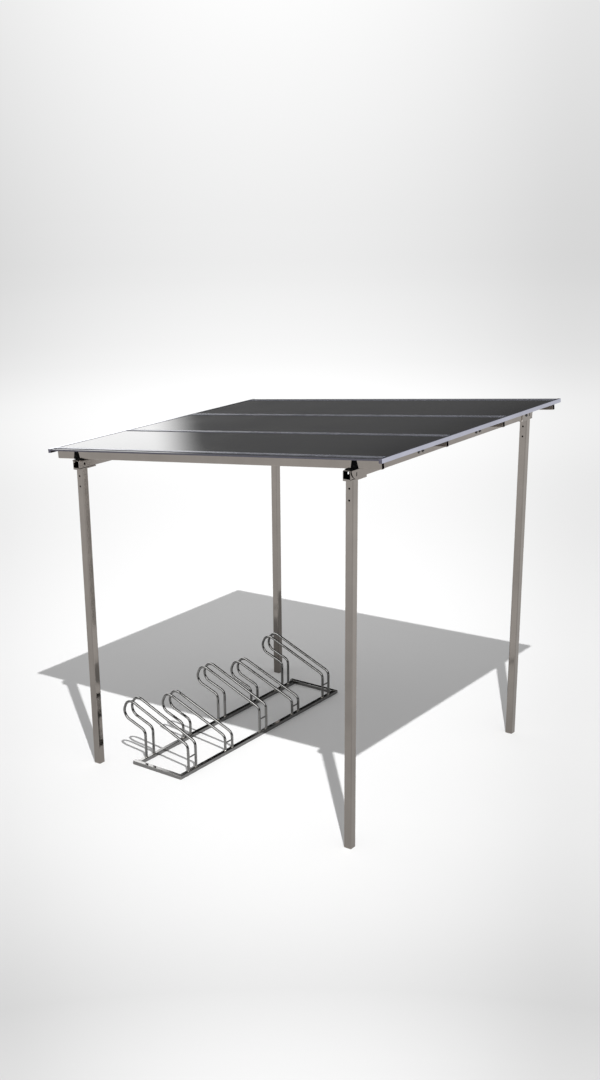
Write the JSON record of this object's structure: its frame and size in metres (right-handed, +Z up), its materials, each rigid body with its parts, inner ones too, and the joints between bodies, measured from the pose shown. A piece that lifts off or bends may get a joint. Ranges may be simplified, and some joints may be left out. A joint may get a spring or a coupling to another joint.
{
  "type": "bike shelter",
  "caption": "Open bicycle shelter: a single-pitch roof of dark sheets on four slim steel posts, over a wheel rack of bent bars.",
  "frame": {"origin": "on the ground, under the middle of the roof", "axes": "+Z up, the high open side where bicycles come in faces -Y, rafters run along Y"},
  "size_m": [2.105, 2.457, 2.3325],
  "materials": {
    "frame_steel": "satin",
    "rack_steel": "polished",
    "aluminium_bar": "anodised",
    "smoked_sheet": "gloss",
    "black_rubber": "matt",
    "black_cleat": "satin"
  },
  "bodies": {
    "root": {"bar_seals": "black_rubber", "bracket_back_left": "frame_steel", "bracket_back_right": "frame_steel", "bracket_front_left": "frame_steel", "bracket_front_right": "frame_steel", "cleat_back_centre_left": "black_cleat", "cleat_back_centre_right": "black_cleat", "cleat_back_left": "black_cleat", "cleat_back_right": "black_cleat", "cleat_front_centre_left": "black_cleat", "cleat_front_centre_right": "black_cleat", "cleat_front_left": "black_cleat", "cleat_front_right": "black_cleat", "edging_back": "aluminium_bar", "edging_front": "aluminium_bar", "edging_seal_back": "black_rubber", "edging_seal_front": "black_rubber", "glazing_bar_centre_left": "aluminium_bar", "glazing_bar_centre_right": "aluminium_bar", "glazing_bar_left": "aluminium_bar", "glazing_bar_right": "aluminium_bar", "header_back": "frame_steel", "header_front": "frame_steel", "post_back_left": "frame_steel", "post_back_right": "frame_steel", "post_front_left": "frame_steel", "post_front_right": "frame_steel", "rack_end_bar_left": "rack_steel", "rack_end_bar_right": "rack_steel", "rack_rail_back": "rack_steel", "rack_rail_front": "rack_steel", "rafter_centre_left": "frame_steel", "rafter_centre_right": "frame_steel", "rafter_left": "frame_steel", "rafter_right": "frame_steel", "rafter_seals": "black_rubber", "roof_sheet_centre": "smoked_sheet", "roof_sheet_left": "smoked_sheet", "roof_sheet_right": "smoked_sheet", "wheel_holder_1": "rack_steel", "wheel_holder_2": "rack_steel", "wheel_holder_3": "rack_steel", "wheel_holder_4": "rack_steel", "wheel_holder_5": "rack_steel"}
  },
  "joints": []
}
